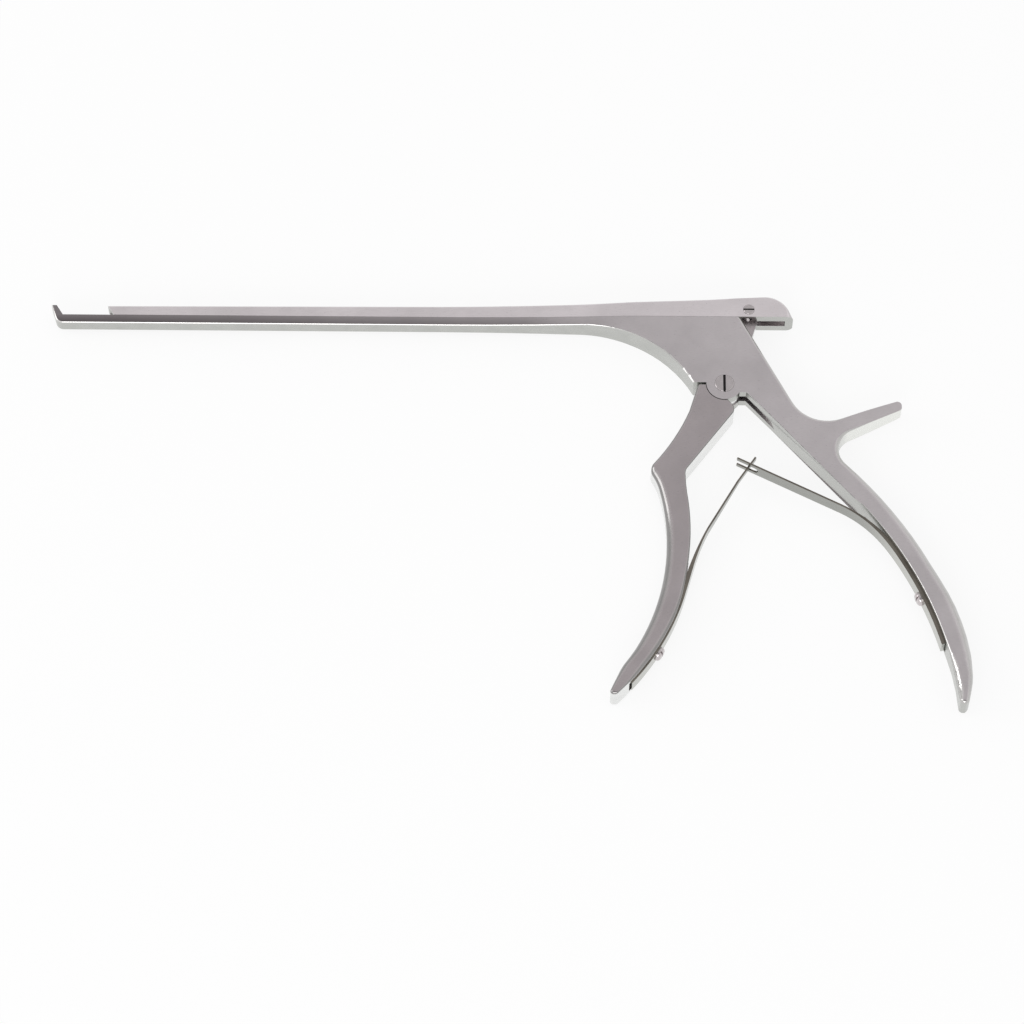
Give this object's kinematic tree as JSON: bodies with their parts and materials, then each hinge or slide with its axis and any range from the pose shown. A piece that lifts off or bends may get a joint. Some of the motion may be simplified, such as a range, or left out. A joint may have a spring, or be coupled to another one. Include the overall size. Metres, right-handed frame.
{
  "type": "bone rongeur",
  "caption": "Sliding-shaft bone rongeur with a slim fixed shaft and foot plate, sliding upper shaft with cutting cup, sprung handles and a thumb spur.",
  "frame": {"origin": "pivot axis of the handles, on the plane of the far side faces that the instrument rests on", "axes": "+X along the shaft towards the handles, +Y towards the top of the slide, +Z out of the side with the screw heads"},
  "size_m": [0.2836, 0.139, 0.0088],
  "materials": {
    "satin_steel": "satin stainless steel with polished edges",
    "spring_steel": "fine ground stainless spring steel",
    "polished_steel": "polished stainless steel"
  },
  "bodies": {
    "frame_body": {"frame": "satin_steel", "pivot_screw": "polished_steel", "rear_leaf_screw": "polished_steel"},
    "handle_body": {"moving_handle": "satin_steel", "front_leaf_screw": "polished_steel"},
    "slide_body": {"slide": "satin_steel", "drive_screw": "polished_steel"},
    "rear_leaf_body": {"rear_leaf": "spring_steel"},
    "front_leaf_body": {"front_leaf": "spring_steel"}
  },
  "joints": [
    {"name": "handle_pivot", "type": "hinge", "parent": "frame_body", "child": "handle_body", "pos_m": [0, 0, 0.0043], "axis": [0, 0, 1], "range_deg": [0, 33.84], "stiffness_Nm_per_rad": 1.2, "springref_deg": -20.05},
    {"name": "slide_travel", "type": "slide", "parent": "frame_body", "child": "slide_body", "axis": [-1, 0, 0], "range_m": [0, 0.016]},
    {"name": "rear_leaf_flex", "type": "hinge", "parent": "frame_body", "child": "rear_leaf_body", "pos_m": [0.046, -0.05, 0.0043], "axis": [0, 0, 1], "range_deg": [-12.6, 0], "deforming": ["rear_leaf"]},
    {"name": "front_leaf_flex", "type": "hinge", "parent": "handle_body", "child": "front_leaf_body", "pos_m": [-0.0115, -0.0675, 0.0043], "axis": [0, 0, 1], "range_deg": [0, 12.6], "deforming": ["front_leaf"]}
  ],
  "couplings": [
    {"joint": "slide_travel", "follows": "handle_pivot", "m_per_rad": 0.02709},
    {"joint": "rear_leaf_flex", "follows": "handle_pivot", "ratio": -0.37},
    {"joint": "front_leaf_flex", "follows": "handle_pivot", "ratio": 0.37}
  ]
}
